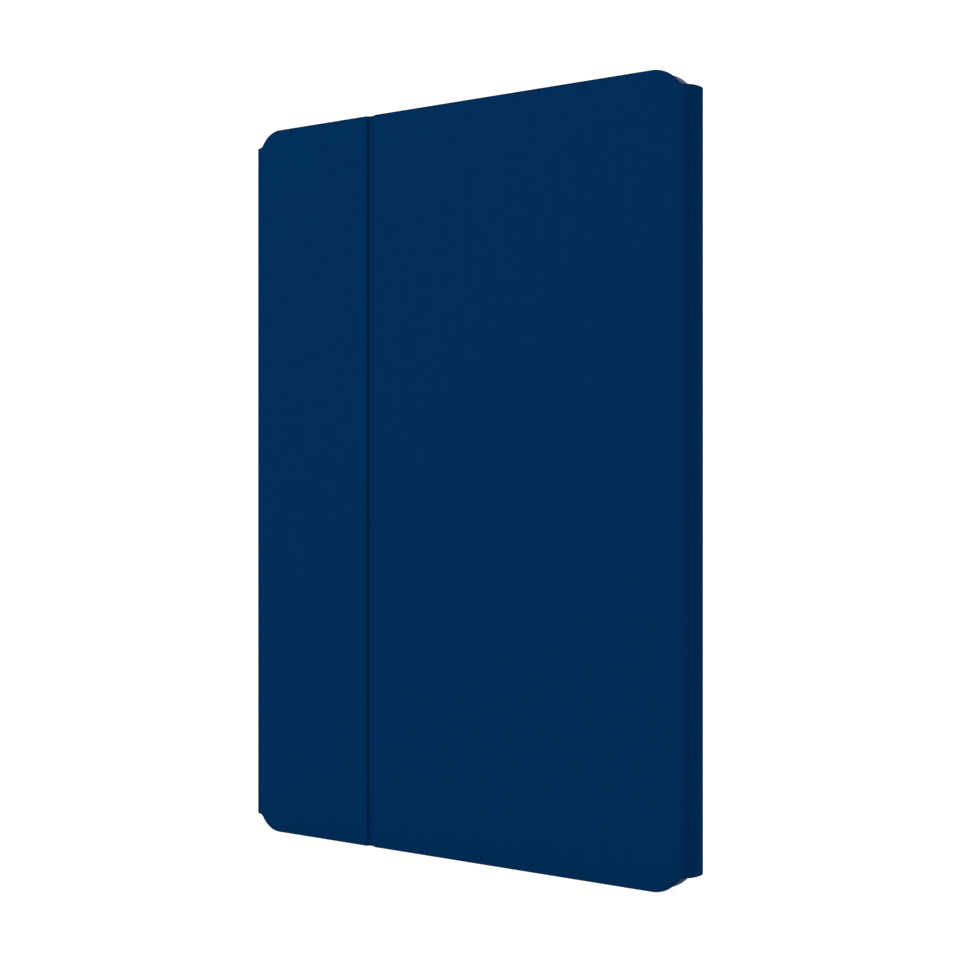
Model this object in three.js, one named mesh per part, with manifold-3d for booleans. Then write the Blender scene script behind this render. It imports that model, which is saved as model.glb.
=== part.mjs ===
// Tablet keyboard case: a slim fabric folio, closed and standing on its short edge.
// Millimetres, +Z up, +X towards the opening edge, -Y towards the viewer, front panel first.
// The cover opens on the spine at -X, the keyboard sits on the inside of the wide front panel,
// the tablet drops into the plastic tray, and a stand swings out of the back.
import * as THREE from 'three';
import { mergeVertices } from 'three/addons/utils/BufferGeometryUtils.js';
import Module from 'manifold-3d';

const wasm = await Module();
wasm.setup();

// Driving dimensions of the closed case
const PANEL_HEIGHT = 296;
const PANEL_WIDTH = 204.9;
const THICKNESS = 14.4;
const STRIP_BULGE = 4.6;
const STRIP_SETBACK = 6.4;
const CLOSURE_REAR = 1.95;
const CORNER_RADIUS = 9;
const CORNER_CENTRE_INSET = 8.2;
const KEYBOARD_PANEL = 141.5;
const CREASE_WIDTH = 4.3;
const FABRIC = 0.55;
const LAYER_GAP = 0.05;
const HINGE_GAP = 0.3;

// Tablet that the tray holds, and the tray around it
const TABLET_WIDTH = 198.8;
const TABLET_HEIGHT = 290.3;
const TABLET_DEPTH = 6.3;
const TABLET_CLEARANCE = 0.25;
const TRAY_HALF_WIDTH = 102.9;
const TRAY_SETBACK = 1.0;
const TRAY_RADIUS = 10;
const TRAY_BEVEL = 0.9;
const TRAY_FLOOR = 0.8;

// Keyboard
const KEY_PITCH = 18.4;
const ROW_PITCH = 17.6;
const FUNCTION_ROW_PITCH = 10.5;
const KEY_GAP = 3;
const KEY_TRAVEL = 1.0;
const WINDOW_CLEARANCE = 0.35;

// Stand
const STAND_AXIS_X = 4;
const STAND_LENGTH = 92;
const STAND_BARREL_RADIUS = 0.75;

// Planes and edges that follow from them
const middle = PANEL_HEIGHT / 2;
const edgeX = PANEL_WIDTH / 2;
const frontY = -THICKNESS / 2;
const backY = THICKNESS / 2;
const keyboardEdgeX = edgeX - KEYBOARD_PANEL;
const foldEdgeX = keyboardEdgeX - CREASE_WIDTH;
const stripLow = STRIP_SETBACK;
const stripHigh = PANEL_HEIGHT - STRIP_SETBACK;
const skinInnerY = frontY + FABRIC;
const boardY = skinInnerY + LAYER_GAP;
const backSkinY = backY - FABRIC;
const backBoardY = { front: 5.2, back: backSkinY - LAYER_GAP };
const trayBackY = backBoardY.front - LAYER_GAP;
const bayFloorY = trayBackY - TRAY_FLOOR;
const trayRimY = -5.3;
const bayFrontY = bayFloorY - TABLET_DEPTH;
const bayHalfWidth = TABLET_WIDTH / 2 + TABLET_CLEARANCE;
const bayHalfHeight = TABLET_HEIGHT / 2 + TABLET_CLEARANCE;
const bayRadius = 8.2;
const backRadius = 9;
const boardInset = 0.6;

// Keyboard layers, from the cover board towards the tablet
const membraneY = { front: -5.45, back: -5.3 };
const domeY = { front: -5.25, back: -5.1 };
const keyboardY = {
  floor: -5.85, cavity: -5.5, deck: -3.75, deckTop: -3.2,
  keyBottom: domeY.back + KEY_TRAVEL + LAYER_GAP, keyTop: -2.1,
};
const keyboardBox = { x0: -36, x1: 98.5, z0: middle - 141, z1: middle + 141, radius: 7, wall: 1 };
const keyFieldX = { x0: -29.5, x1: 70 };
const statusLight = { x: -32.4, z: middle + 120, radius: 0.8, holeRadius: 1.1 };

// Stand: the hinge axis, the plate's two ends and the two leaf hinges
const stand = {
  hingeX: STAND_AXIS_X - 1.3,
  fixedX: STAND_AXIS_X + 2,
  freeX: STAND_AXIS_X - STAND_LENGTH,
  freeRadius: 4,
  axisY: 5.95,
  frontY: 5.3,
  notchRadius: 11,
  notchSetback: 6,
  leafLength: 12,
  leafReach: 14,
  fixedLeafY: { front: 5.2, back: 5.65 },
  movingLeafY: { front: 5.3, back: 5.7 },
  recessY: { front: 5, back: 6 },
  pinRadius: 0.32,
  boreRadius: 0.45,
  pinReach: 0.5,
  z: [middle - 95, middle + 95],
};

// Spring contacts in the tray's spine wall, and the flat cable that leads to them
const contact = { spacing: 5, y: 1, pinRadius: 0.6, boreRadius: 0.8, tailX: -100.6, tipX: -98.85 };
const contactBlock = { x0: -101.4, x1: -99.95, y0: -1, y1: 3, halfZ: 9.7, gap: 0.2 };
const cable = { halfWidth: 8, spineX: -104.4, thickness: 0.2, halfDepth: 3.6 };

// Magnets, openings in the tray and the camera window
const closureMagnet = { x0: 104.2, x1: 105.6, halfY: 2.5, halfZ: 20, offsetZ: 85 };
const wakeMagnet = { x0: 88, x1: 94, z0: middle + 101, z1: middle + 121 };
const chargingNotch = 44;
const buttonNotch = 60;
const notchBackY = 3.7;
const camera = { x: 82, z: PANEL_HEIGHT - 26, half: 6.5, radius: 0.8 };

// Materials
const materials = {
  fabric: new THREE.MeshStandardMaterial({ color: 0x022d57, roughness: 0.85, metalness: 0 }),
  lining: new THREE.MeshStandardMaterial({ color: 0x3a424e, roughness: 0.95, metalness: 0 }),
  board: new THREE.MeshStandardMaterial({ color: 0x8a8478, roughness: 0.9, metalness: 0 }),
  core: new THREE.MeshStandardMaterial({ color: 0x2a2f38, roughness: 0.9, metalness: 0 }),
  tray: new THREE.MeshStandardMaterial({ color: 0x0b2a4c, roughness: 0.18, metalness: 0 }),
  deck: new THREE.MeshStandardMaterial({ color: 0x16263c, roughness: 0.6, metalness: 0 }),
  key: new THREE.MeshStandardMaterial({ color: 0x0f1c2e, roughness: 0.5, metalness: 0 }),
  rubber: new THREE.MeshStandardMaterial({ color: 0x9aa0a8, roughness: 0.8, metalness: 0 }),
  circuit: new THREE.MeshStandardMaterial({ color: 0x1d5a3c, roughness: 0.5, metalness: 0 }),
  steel: new THREE.MeshStandardMaterial({ color: 0xb8bcc2, roughness: 0.35, metalness: 1 }),
  gold: new THREE.MeshStandardMaterial({ color: 0xc9a24b, roughness: 0.3, metalness: 1 }),
  lamp: new THREE.MeshStandardMaterial({ color: 0xe8eef2, roughness: 0.2, metalness: 0 }),
};

const model = new THREE.Group();

function add(name, geometry, material) {
  const mesh = new THREE.Mesh(geometry, material);
  mesh.name = name;
  model.add(mesh);
  return mesh;
}

// Solids for boolean work
function toManifold(geometry) {
  const bare = geometry.clone();
  bare.deleteAttribute('normal');
  bare.deleteAttribute('uv');
  const merged = mergeVertices(bare, 1e-4);
  const vertProperties = new Float32Array(merged.attributes.position.array);
  const triVerts = new Uint32Array(merged.index.array);
  return new wasm.Manifold(new wasm.Mesh({ numProp: 3, vertProperties, triVerts }));
}

function toGeometry(manifold) {
  const mesh = manifold.getMesh();
  const geometry = new THREE.BufferGeometry();
  geometry.setAttribute('position', new THREE.BufferAttribute(new Float32Array(mesh.vertProperties), 3));
  geometry.setIndex(new THREE.BufferAttribute(new Uint32Array(mesh.triVerts), 1));
  geometry.computeVertexNormals();
  return geometry;
}

function cut(geometry, ...tools) {
  return toGeometry(tools.reduce((body, tool) => body.subtract(toManifold(tool)), toManifold(geometry)));
}

function join(geometry, ...others) {
  return toGeometry(others.reduce((body, other) => body.add(toManifold(other)), toManifold(geometry)));
}

// Outlines are drawn in X and Z; radii run from the low-X low-Z corner, anticlockwise
function roundedOutline(x0, x1, z0, z1, radii) {
  const [lowLeft, lowRight, highRight, highLeft] = radii;
  const shape = new THREE.Shape();
  shape.moveTo(x0 + lowLeft, z0);
  shape.lineTo(x1 - lowRight, z0);
  if (lowRight) shape.absarc(x1 - lowRight, z0 + lowRight, lowRight, -Math.PI / 2, 0);
  shape.lineTo(x1, z1 - highRight);
  if (highRight) shape.absarc(x1 - highRight, z1 - highRight, highRight, 0, Math.PI / 2);
  shape.lineTo(x0 + highLeft, z1);
  if (highLeft) shape.absarc(x0 + highLeft, z1 - highLeft, highLeft, Math.PI / 2, Math.PI);
  shape.lineTo(x0, z0 + lowLeft);
  if (lowLeft) shape.absarc(x0 + lowLeft, z0 + lowLeft, lowLeft, Math.PI, 1.5 * Math.PI);
  return shape;
}

// A flat layer: an X-Z outline between two Y planes
function layer(outline, front, back, segments = 5) {
  const options = { depth: back - front, bevelEnabled: false, curveSegments: segments };
  const geometry = new THREE.ExtrudeGeometry(outline, options);
  geometry.rotateX(Math.PI / 2);
  geometry.translate(0, back, 0);
  return geometry;
}

function box(x0, x1, y0, y1, z0, z1) {
  const geometry = new THREE.BoxGeometry(x1 - x0, y1 - y0, z1 - z0);
  geometry.translate((x0 + x1) / 2, (y0 + y1) / 2, (z0 + z1) / 2);
  return geometry;
}

function rodAlongZ(x, y, z0, z1, radius, sides = 12) {
  const geometry = new THREE.CylinderGeometry(radius, radius, z1 - z0, sides);
  geometry.rotateX(Math.PI / 2);
  geometry.translate(x, y, (z0 + z1) / 2);
  return geometry;
}

function rodAlongX(x0, x1, y, z, radius, sides = 12) {
  const geometry = new THREE.CylinderGeometry(radius, radius, x1 - x0, sides);
  geometry.rotateZ(Math.PI / 2);
  geometry.translate((x0 + x1) / 2, y, z);
  return geometry;
}

function rodAlongY(x, y0, y1, z, radius, sides = 16) {
  const geometry = new THREE.CylinderGeometry(radius, radius, y1 - y0, sides);
  geometry.translate(x, (y0 + y1) / 2, z);
  return geometry;
}

// Front sheet: its outer corners are round and meet the side strip before they turn vertical
function frontSheetOutline(side, innerX, inset) {
  const radius = CORNER_RADIUS - inset;
  const centreX = edgeX - CORNER_CENTRE_INSET;
  const low = CORNER_RADIUS;
  const high = PANEL_HEIGHT - CORNER_RADIUS;
  const meet = Math.acos((CORNER_CENTRE_INSET - inset) / radius);
  const steps = 6;
  const arc = Array.from({ length: steps + 1 }, (unused, step) => {
    const angle = meet + (Math.PI / 2 - meet) * (step / steps);
    return [centreX + radius * Math.cos(angle), radius * Math.sin(angle)];
  });
  const points = [
    [innerX * side, inset],
    ...[...arc].reverse().map(([x, rise]) => [x, low - rise]),
    ...arc.map(([x, rise]) => [x, high + rise]),
    [innerX * side, PANEL_HEIGHT - inset],
  ];
  const placed = points.map(([x, z]) => new THREE.Vector2(x * side, z));
  return new THREE.Shape(side > 0 ? placed : placed.reverse());
}

// Side strip: the part of a half ellipse between two sizes, from its front end to its rear end
function stripGeometry(side, outer, inner, rearAngle, z0, z1, frontAngle = -Math.PI / 2) {
  const point = (size, angle) => {
    const x = side * (edgeX + size.bulge * Math.cos(angle));
    return new THREE.Vector2(x, size.depth * Math.sin(angle));
  };
  const steps = 12;
  const outline = [];
  for (let step = 0; step <= steps; step += 1) {
    outline.push(point(outer, frontAngle + (rearAngle - frontAngle) * (step / steps)));
  }
  for (let step = steps; step >= 0; step -= 1) {
    outline.push(point(inner, frontAngle + (rearAngle - frontAngle) * (step / steps)));
  }
  const shape = new THREE.Shape(side > 0 ? outline : outline.reverse());
  const geometry = new THREE.ExtrudeGeometry(shape, { depth: z1 - z0, bevelEnabled: false });
  geometry.translate(0, 0, z0);
  return geometry;
}

const skinOuter = { bulge: STRIP_BULGE, depth: backY };
const skinInner = { bulge: STRIP_BULGE - FABRIC, depth: backY - FABRIC };
const coreOuter = { bulge: skinInner.bulge - LAYER_GAP, depth: skinInner.depth - LAYER_GAP };
const coreInner = { bulge: 2.6, depth: 5.5 };
const coreSetback = 0.14;

// Tray: a plastic shell with bulging sides and a bay that grips the tablet all round
function buildTray() {
  const rim = TRAY_BEVEL;
  const half = TRAY_HALF_WIDTH - rim;
  const low = TRAY_SETBACK + rim;
  const radius = TRAY_RADIUS - rim;
  const outline = roundedOutline(-half, half, low, PANEL_HEIGHT - low, [radius, radius, radius, radius]);
  const bevelDepth = 4;
  const shell = new THREE.ExtrudeGeometry(outline, {
    depth: trayBackY - trayRimY - 2 * bevelDepth,
    bevelThickness: bevelDepth,
    bevelSize: TRAY_BEVEL,
    bevelSegments: 3,
    curveSegments: 5,
  });
  shell.rotateX(Math.PI / 2);
  shell.translate(0, trayBackY - bevelDepth, 0);

  const bayOutline = roundedOutline(
    -bayHalfWidth, bayHalfWidth, middle - bayHalfHeight, middle + bayHalfHeight, Array(4).fill(bayRadius),
  );
  const notch = (width, z0, z1) => box(-width / 2, width / 2, trayRimY - 2, notchBackY, z0, z1);

  let body = toManifold(shell).subtract(toManifold(layer(bayOutline, trayRimY - 2, bayFloorY)));
  const { x0, y0, y1, halfZ, gap } = contactBlock;
  const tools = [
    notch(chargingNotch, -1, middle - bayHalfHeight + 1),
    notch(buttonNotch, middle + bayHalfHeight - 1, PANEL_HEIGHT + 1),
    cameraHole(bayFloorY - 1, trayBackY + 1),
    box(x0 - gap, -bayHalfWidth + 0.5, y0 - gap, y1 + gap, middle - halfZ - 0.3, middle + halfZ + 0.3),
    box(-TRAY_HALF_WIDTH - 1, x0 + 0.4, contact.y - 0.5, contact.y + 0.5, middle - 5, middle + 5),
  ];
  tools.forEach((tool) => {
    body = body.subtract(toManifold(tool));
  });
  return toGeometry(body);
}

function cameraHole(front, back) {
  const { x, z, half, radius } = camera;
  return layer(roundedOutline(x - half, x + half, z - half, z + half, Array(4).fill(radius)), front, back, 3);
}

// Back: one fixed plate beside the opening edge, a narrow one beside the spine, the stand between them
function backPlate(x0, x1, inset, front, back, radii) {
  return layer(roundedOutline(x0, x1, stripLow + inset, stripHigh - inset, radii), front, back);
}

function leafRecesses(side, x0, x1) {
  return stand.z.map((z) => {
    const z0 = z - HINGE_GAP - (side > 0 ? stand.leafLength : 0);
    const z1 = z + HINGE_GAP + (side > 0 ? 0 : stand.leafLength);
    return box(x0, x1, stand.recessY.front, stand.recessY.back, z0, z1);
  });
}

function buildBack() {
  const right = { x0: stand.fixedX, x1: edgeX };
  const left = { x0: -edgeX + HINGE_GAP, x1: stand.freeX - HINGE_GAP * 2 };
  const roundRight = [0, backRadius, backRadius, 0];
  const recessEnd = STAND_AXIS_X + stand.leafReach + HINGE_GAP;
  add('back_board_main', cut(
    backPlate(right.x0, right.x1 - boardInset, boardInset, backBoardY.front, backBoardY.back, roundRight),
    ...leafRecesses(1, right.x0 - 1, recessEnd),
    cameraHole(backBoardY.front - 1, backBoardY.back + 1),
  ), materials.board);
  add('back_fabric_main', cut(
    backPlate(right.x0, right.x1, 0, backSkinY, backY, roundRight),
    cameraHole(backSkinY - 1, backY + 1),
  ), materials.fabric);
  const square = [0, 0, 0, 0];
  add('back_board_spine', backPlate(left.x0, left.x1, boardInset, backBoardY.front, backBoardY.back, square),
    materials.board);
  add('back_fabric_spine', backPlate(left.x0, left.x1, 0, backSkinY, backY, square), materials.fabric);
}

function buildStand() {
  const notchX = stand.freeX - stand.notchSetback;
  const thumbNotch = rodAlongY(notchX, stand.frontY - 1, backY + 1, middle, stand.notchRadius, 20);
  const roundFree = [stand.freeRadius, 0, 0, stand.freeRadius];
  const recessStart = STAND_AXIS_X - stand.leafReach - HINGE_GAP;
  add('stand_board', cut(
    backPlate(stand.freeX + boardInset, stand.hingeX, boardInset, stand.frontY, backBoardY.back, roundFree),
    thumbNotch,
    ...leafRecesses(-1, recessStart, stand.hingeX + 1),
  ), materials.board);
  add('stand_fabric', cut(
    backPlate(stand.freeX, stand.hingeX, 0, backSkinY, backY, roundFree),
    thumbNotch,
  ), materials.fabric);
  ['lower', 'upper'].forEach((place, index) => {
    const z = stand.z[index];
    const knuckle = (z0, z1) => rodAlongZ(STAND_AXIS_X, stand.axisY, z0, z1, STAND_BARREL_RADIUS);
    const bore = rodAlongZ(STAND_AXIS_X, stand.axisY, z - 20, z + 20, stand.boreRadius);
    const { leafReach: reach, fixedLeafY, movingLeafY, pinReach } = stand;
    const low = { z0: z - stand.leafLength, z1: z - HINGE_GAP / 2 };
    const high = { z0: z + HINGE_GAP / 2, z1: z + stand.leafLength };
    const fixedLeaf = box(
      STAND_AXIS_X, STAND_AXIS_X + reach, fixedLeafY.front, fixedLeafY.back, low.z0, low.z1,
    );
    const movingLeaf = box(
      STAND_AXIS_X - reach, STAND_AXIS_X, movingLeafY.front, movingLeafY.back, high.z0, high.z1,
    );
    add(`stand_hinge_fixed_leaf_${place}`, cut(join(knuckle(low.z0, low.z1), fixedLeaf), bore),
      materials.steel);
    add(`stand_hinge_moving_leaf_${place}`, cut(join(knuckle(high.z0, high.z1), movingLeaf), bore),
      materials.steel);
    add(`stand_hinge_pin_${place}`,
      rodAlongZ(STAND_AXIS_X, stand.axisY, low.z0 - pinReach, high.z1 + pinReach, stand.pinRadius),
      materials.steel);
  });
}

// Spring contacts in the tray wall, which feed the keyboard through the spine
function buildContacts() {
  const { x0, x1, y0, y1, halfZ } = contactBlock;
  const { spacing, y, pinRadius, boreRadius, tailX, tipX } = contact;
  const places = [middle - spacing, middle, middle + spacing];
  const bores = places.map((z) => rodAlongX(x0 - 1, x1 + 1, y, z, boreRadius));
  add('contact_block', cut(box(x0, x1, y0, y1, middle - halfZ, middle + halfZ), ...bores), materials.core);
  places.forEach((z, index) => {
    add(`contact_pin_${index + 1}`, rodAlongX(tailX, tipX, y, z, pinRadius), materials.gold);
  });
}

function buildSpine() {
  const quarter = Math.PI / 2;
  add('spine_fabric', stripGeometry(-1, skinOuter, skinInner, quarter, stripLow, stripHigh),
    materials.fabric);
  add('spine_core', stripGeometry(
    -1, coreOuter, coreInner, quarter, stripLow + boardInset, stripHigh - boardInset,
  ), materials.core);
  const { spineX, thickness, halfDepth, halfWidth } = cable;
  add('flex_cable_spine',
    box(spineX, spineX + thickness, -halfDepth, halfDepth, middle - halfWidth, middle + halfWidth),
    materials.gold);
}

function buildFoldPanel() {
  const inner = foldEdgeX;
  add('fold_fabric', layer(frontSheetOutline(-1, inner, 0), frontY, skinInnerY), materials.fabric);
  add('fold_board', layer(frontSheetOutline(-1, inner, boardInset), boardY, -6.1), materials.board);
  add('flex_cable_fold', box(
    -edgeX + 4, inner - 1, -6.06, -5.95, middle - cable.halfWidth, middle + cable.halfWidth,
  ), materials.gold);
  add('fold_lining', layer(frontSheetOutline(-1, inner, 1.5), -5.9, -5.65), materials.lining);
}

function buildKeyboardPanel() {
  const inner = keyboardEdgeX;
  add('cover_fabric', layer(frontSheetOutline(1, inner, 0), frontY, skinInnerY), materials.fabric);
  add('cover_board', layer(frontSheetOutline(1, inner, boardInset), boardY, -5.9), materials.board);
  const { x0, x1, z0, z1, radius, wall } = keyboardBox;
  const casing = (inset, front, back) => layer(
    roundedOutline(x0 + inset, x1 - inset, z0 + inset, z1 - inset, Array(4).fill(radius - inset)),
    front, back,
  );
  const film = ({ front, back }) => box(keyFieldX.x0, keyFieldX.x1, front, back, z0 + 3, z1 - 3);
  add('keyboard_base', cut(
    casing(0, keyboardY.floor, keyboardY.deck - LAYER_GAP),
    casing(wall, keyboardY.cavity, keyboardY.deck + 1),
  ), materials.deck);
  add('membrane', film(membraneY), materials.circuit);
  add('dome_sheet', film(domeY), materials.rubber);
  add('controller_board', box(x0 + 1.5, keyFieldX.x0 - 0.5, membraneY.front, -4.5, middle - 30, middle + 30),
    materials.circuit);
  add('wake_magnet', box(
    wakeMagnet.x0, wakeMagnet.x1, membraneY.front, -4.2, wakeMagnet.z0, wakeMagnet.z1,
  ), materials.steel);
  add('status_light',
    rodAlongY(statusLight.x, -4.6, -3.1, statusLight.z, statusLight.radius, 12), materials.lamp);
}

function buildClosureStrip() {
  const rearAngle = Math.acos(CLOSURE_REAR / STRIP_BULGE);
  const { x0, x1, halfY, halfZ, offsetZ } = closureMagnet;
  const block = (z, gap) => box(
    x0 - gap, x1 + gap, -halfY - gap, halfY + gap, z - halfZ - gap, z + halfZ + gap,
  );
  const places = { lower: middle - offsetZ, upper: middle + offsetZ };
  add('closure_fabric', stripGeometry(1, skinOuter, skinInner, rearAngle, stripLow, stripHigh),
    materials.fabric);
  add('closure_core', cut(
    stripGeometry(1, coreOuter, coreInner, rearAngle - coreSetback, stripLow + boardInset,
      stripHigh - boardInset, coreSetback * 2 - Math.PI / 2),
    ...Object.values(places).map((z) => block(z, HINGE_GAP)),
  ), materials.core);
  for (const [place, z] of Object.entries(places)) {
    add(`closure_magnet_${place}`, block(z, 0), materials.steel);
  }
}

// Keys: rows run along Z from the escape corner at high Z; widths are in key units
const keyRows = [
  { row: 'function', depth: FUNCTION_ROW_PITCH, keys: Array(14).fill(['', 15 / 14]) },
  { row: 'number', depth: ROW_PITCH, keys: [...Array(13).fill(['', 1]), ['backspace', 2]] },
  {
    row: 'upper',
    depth: ROW_PITCH,
    keys: [['tab', 1.5], ...Array(12).fill(['', 1]), ['backslash', 1.5]],
  },
  {
    row: 'home',
    depth: ROW_PITCH,
    keys: [['caps_lock', 1.75], ...Array(11).fill(['', 1]), ['enter', 2.25]],
  },
  {
    row: 'lower',
    depth: ROW_PITCH,
    keys: [['shift_left', 2.25], ...Array(10).fill(['', 1]), ['shift_right', 2.75]],
  },
  {
    row: 'space',
    depth: ROW_PITCH,
    keys: [
      ['ctrl_left', 1.25], ['fn', 1], ['command', 1], ['alt_left', 1.25], ['space', 5.5],
      ['alt_right', 1], ['ctrl_right', 1], ['arrow_left', 1], ['arrow_up_down', 1], ['arrow_right', 1],
    ],
  },
];

function keyPlaces() {
  const places = [];
  let x = -29;
  for (const { row, depth, keys } of keyRows) {
    let z = middle + 7.5 * KEY_PITCH;
    for (const [name, units] of keys) {
      const key = {
        row, name,
        x0: x + KEY_GAP / 2, x1: x + depth - KEY_GAP / 2,
        z1: z - KEY_GAP / 2, z0: z - units * KEY_PITCH + KEY_GAP / 2,
      };
      z -= units * KEY_PITCH;
      if (name === 'arrow_up_down') {
        const half = (key.x0 + key.x1) / 2;
        places.push({ ...key, name: 'arrow_up', x1: half - 0.75 });
        places.push({ ...key, name: 'arrow_down', x0: half + 0.75 });
      } else {
        places.push(key);
      }
    }
    x += depth;
  }
  return places;
}

function buildKeys() {
  const keys = keyPlaces();
  const cap = ({ x0, x1, z0, z1 }) => box(x0, x1, keyboardY.keyBottom, keyboardY.keyTop, z0, z1);
  for (const key of keys.filter(({ name }) => name)) {
    add(`key_${key.name}`, cap(key), materials.key);
  }
  for (const { row } of keyRows.filter(({ row: name }) => name !== 'space')) {
    const group = keys.filter((key) => key.row === row && !key.name);
    const centre = (group[0].x0 + group[0].x1) / 2;
    const low = Math.min(...group.map(({ z0 }) => z0));
    const high = Math.max(...group.map(({ z1 }) => z1));
    const web = box(centre - 2.5, centre + 2.5, keyboardY.keyBottom, keyboardY.keyBottom + 0.25,
      low + 2, high - 2);
    add(`keys_${row}_row`, join(web, ...group.map(cap)), materials.key);
  }
  return keys;
}

function buildDeck(keys) {
  const { x0, x1, z0, z1, radius } = keyboardBox;
  const clear = WINDOW_CLEARANCE;
  const windows = keys.map((key) => box(
    key.x0 - clear, key.x1 + clear, keyboardY.deck - 1, keyboardY.deckTop + 1, key.z0 - clear, key.z1 + clear,
  ));
  const lightHole = rodAlongY(statusLight.x, -5, -2, statusLight.z, statusLight.holeRadius, 12);
  const outline = roundedOutline(x0, x1, z0, z1, Array(4).fill(radius));
  const plate = layer(outline, keyboardY.deck, keyboardY.deckTop);
  add('keyboard_deck', cut(plate, ...windows, lightHole), materials.deck);
}

add('tray_shell', buildTray(), materials.tray);
buildBack();
buildStand();
buildContacts();
buildSpine();
buildFoldPanel();
buildKeyboardPanel();
buildClosureStrip();
buildDeck(buildKeys());

export default model;
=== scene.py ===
"""Tablet keyboard case: navy cloth folio with a keyboard inside, standing closed on its short edge."""

import math

import bmesh
import bpy
import numpy as np
from mathutils import Matrix, Vector


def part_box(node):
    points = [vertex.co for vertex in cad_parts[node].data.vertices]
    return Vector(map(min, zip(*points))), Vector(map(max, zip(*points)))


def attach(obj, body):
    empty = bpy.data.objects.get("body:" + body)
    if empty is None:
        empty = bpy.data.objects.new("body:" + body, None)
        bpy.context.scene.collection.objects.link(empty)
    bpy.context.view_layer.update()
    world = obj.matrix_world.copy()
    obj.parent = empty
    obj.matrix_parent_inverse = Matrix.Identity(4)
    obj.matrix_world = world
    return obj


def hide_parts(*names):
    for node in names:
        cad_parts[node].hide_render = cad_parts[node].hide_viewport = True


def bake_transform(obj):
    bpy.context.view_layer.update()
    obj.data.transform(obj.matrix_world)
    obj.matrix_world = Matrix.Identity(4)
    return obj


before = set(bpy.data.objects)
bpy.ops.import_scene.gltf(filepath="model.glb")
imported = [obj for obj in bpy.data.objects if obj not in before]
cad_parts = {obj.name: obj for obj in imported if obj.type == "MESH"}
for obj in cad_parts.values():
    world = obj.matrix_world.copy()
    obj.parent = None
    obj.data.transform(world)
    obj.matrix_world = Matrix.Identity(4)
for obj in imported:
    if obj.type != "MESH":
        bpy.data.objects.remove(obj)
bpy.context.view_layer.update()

MM = 0.001

# ---------------------------------------------------------------- sizes from the frame
front_low, front_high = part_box("cover_fabric")
fold_low, fold_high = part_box("fold_fabric")
spine_low, spine_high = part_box("spine_fabric")
closure_low, closure_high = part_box("closure_fabric")
stand_low, stand_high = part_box("stand_fabric")
back_low, back_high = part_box("back_fabric_main")
narrow_low, narrow_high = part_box("back_fabric_spine")
tray_low, tray_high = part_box("tray_shell")
base_low, base_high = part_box("keyboard_base")
deck_low, deck_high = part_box("keyboard_deck")

EDGE = front_high.x
MIDDLE = (front_low.z + front_high.z) / 2
HALF = (front_high.z - front_low.z) / 2
STRIP_HALF = (spine_high.z - spine_low.z) / 2
BULGE = closure_high.x - EDGE
FRONT = front_low.y
BACK = -FRONT
SKIN = front_high.y - front_low.y
CREASE_LEFT = fold_high.x
CREASE_RIGHT = front_low.x
CREASE_MIDDLE = (CREASE_LEFT + CREASE_RIGHT) / 2
CREASE_DEPTH = 1.1 * MM
CREASE_WALL = 0.8 * MM
CREASE_BEND = (CREASE_MIDDLE - 0.3 * MM, CREASE_RIGHT + 0.5 * MM)
# radius of the front sheet's corners, and how far inside the panel's side edge their centres lie
RIGHT_CORNER = (14.0 * MM, 10.95 * MM)
LEFT_CORNER = (11.2 * MM, 10.95 * MM)
CORNER_FILLET = 2.4 * MM
CLOSURE_REAR = 1.95 * MM
HINGE_BAND = 2.5 * MM
LINING_OFFSET = 0.6 * MM
LINING_INSET = 0.6 * MM
# width and depth of the rounding along the tray's front and back edges
TRAY_FRONT_ROUND = (0.9 * MM, 4.0 * MM)
TRAY_BACK_ROUND = (2.0 * MM, 4.5 * MM)
TRAY_RADIUS = 9.0 * MM
BAY_HALF_WIDTH = 99.65 * MM
BAY_HALF_HEIGHT = 145.4 * MM
BAY_RADIUS = 8.2 * MM
BAY_FLOOR = 4.35 * MM
CHARGING_NOTCH = 44 * MM
BUTTON_NOTCH = 60 * MM
NOTCH_DEPTH = 3.7 * MM
BACK_RADIUS = 9 * MM
STAND_RADIUS = 4 * MM
THUMB_RADIUS = 11 * MM
THUMB_OUTSIDE = 6 * MM
CAMERA = (82 * MM, HALF - 26 * MM)
CAMERA_HALF = 6.5 * MM
CAMERA_RADIUS = 0.8 * MM
KEY_GAP = 3 * MM
WINDOW_GAP = 0.35 * MM
KEYBOARD_RADIUS = 7 * MM


# ---------------------------------------------------------------- camera, stage and light
IMAGE_SIZE = 960
CAMERA_ASIDE = 70.5 * MM
CAMERA_DISTANCE = 633.5 * MM


def make_camera():
    """A long lens at half height, level, looking from the front right."""
    right = Vector((0.8, 0.6, 0.0))
    forward = Vector((-0.6, 0.8, 0.0))
    corner = Vector((EDGE, FRONT, MIDDLE))
    place = corner - CAMERA_ASIDE * right - CAMERA_DISTANCE * forward
    data = bpy.data.cameras.new("camera")
    data.lens = 66.66
    data.sensor_width = 36
    data.shift_y = 1 / IMAGE_SIZE
    camera = bpy.data.objects.new("camera", data)
    bpy.context.scene.collection.objects.link(camera)
    axes = Matrix((right, Vector((0, 0, 1)), -forward)).transposed()
    camera.matrix_world = Matrix.Translation(place) @ axes.to_4x4()
    bpy.context.scene.camera = camera


def link(name, mesh):
    obj = bpy.data.objects.new(name, mesh)
    bpy.context.scene.collection.objects.link(obj)
    return obj


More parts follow.
